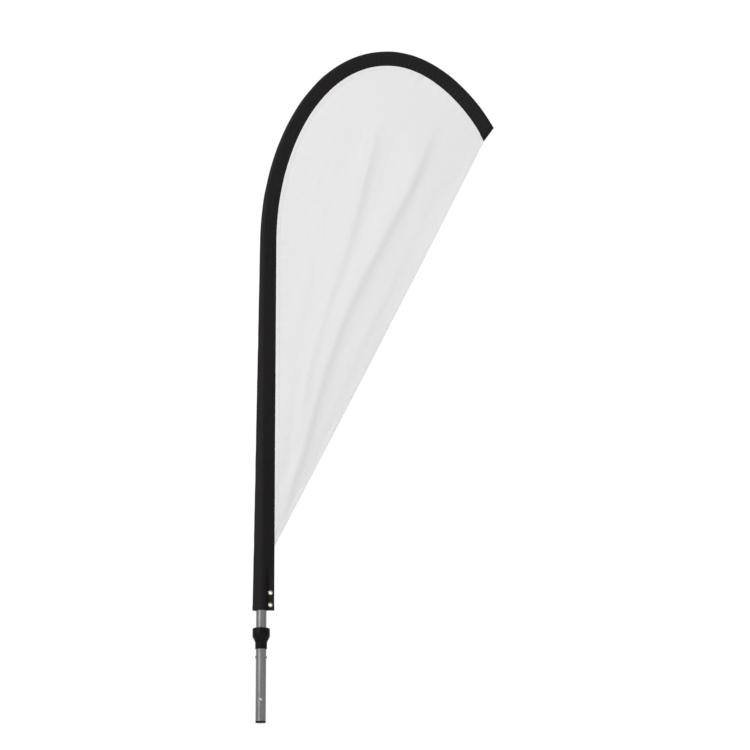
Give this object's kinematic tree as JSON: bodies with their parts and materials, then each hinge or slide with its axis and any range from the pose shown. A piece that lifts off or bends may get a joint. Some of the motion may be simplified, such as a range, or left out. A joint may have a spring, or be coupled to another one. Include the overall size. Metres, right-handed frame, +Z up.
{
  "type": "teardrop flag",
  "caption": "Teardrop flag on a bent pole with a black sleeve, white panel and a swivelling roof mount spigot.",
  "frame": {"origin": "centre of the flat end face of the mount tube's end plug, on the tube's axis", "axes": "+Z up along the mount tube and the pole's straight run, +X from the pole towards the flag's trailing edge, Y across the flag's thickness"},
  "size_m": [0.657, 0.047, 1.8728],
  "materials": {
    "black_nylon": "fine moulded",
    "swivel_nylon": "fine moulded, slightly worn",
    "tube_aluminium": "satin drawn tube",
    "rivet_aluminium": "plain",
    "spring_steel": "polished",
    "zinc_steel": "zinc plated",
    "acetal": "smooth",
    "seal_rubber": "matte",
    "fibreglass": "pultruded resin",
    "sleeve_cloth": "matte elastic weave",
    "flag_cloth": "knitted polyester",
    "eyelet_brass": "dulled"
  },
  "bodies": {
    "mount": {"tube_end_plug": "black_nylon", "mount_tube": "tube_aluminium", "snap_spring": "spring_steel", "rivet_left": "rivet_aluminium", "rivet_right": "rivet_aluminium", "swivel_body": "swivel_nylon", "lower_bush": "acetal", "upper_bush": "acetal", "dust_seal": "seal_rubber"},
    "button": {"snap_button": "spring_steel"},
    "flag": {"swivel_bolt": "zinc_steel", "thrust_washer": "zinc_steel", "bolt_washer": "zinc_steel", "lock_nut": "zinc_steel", "pole_foot": "black_nylon", "base_tube": "tube_aluminium", "lower_ferrule": "black_nylon", "middle_tube": "fibreglass", "upper_ferrule": "black_nylon", "tip_rod": "fibreglass", "tip_cap": "black_nylon", "pole_sleeve": "sleeve_cloth", "flag_panel": "flag_cloth", "eyelet_upper": "eyelet_brass", "eyelet_lower": "eyelet_brass", "eyelet_washer_upper": "eyelet_brass", "eyelet_washer_lower": "eyelet_brass"}
  },
  "joints": [
    {"name": "flag_swivel", "type": "hinge", "parent": "mount", "child": "flag", "pos_m": [0, 0, 0.234], "axis": [0, 0, 1], "continuous": true},
    {"name": "button_press", "type": "slide", "parent": "mount", "child": "button", "axis": [0, 1, 0], "range_m": [0, 0.006], "stiffness_N_per_m": 900, "springref_m": -0.002, "deforming": ["snap_spring"]}
  ]
}
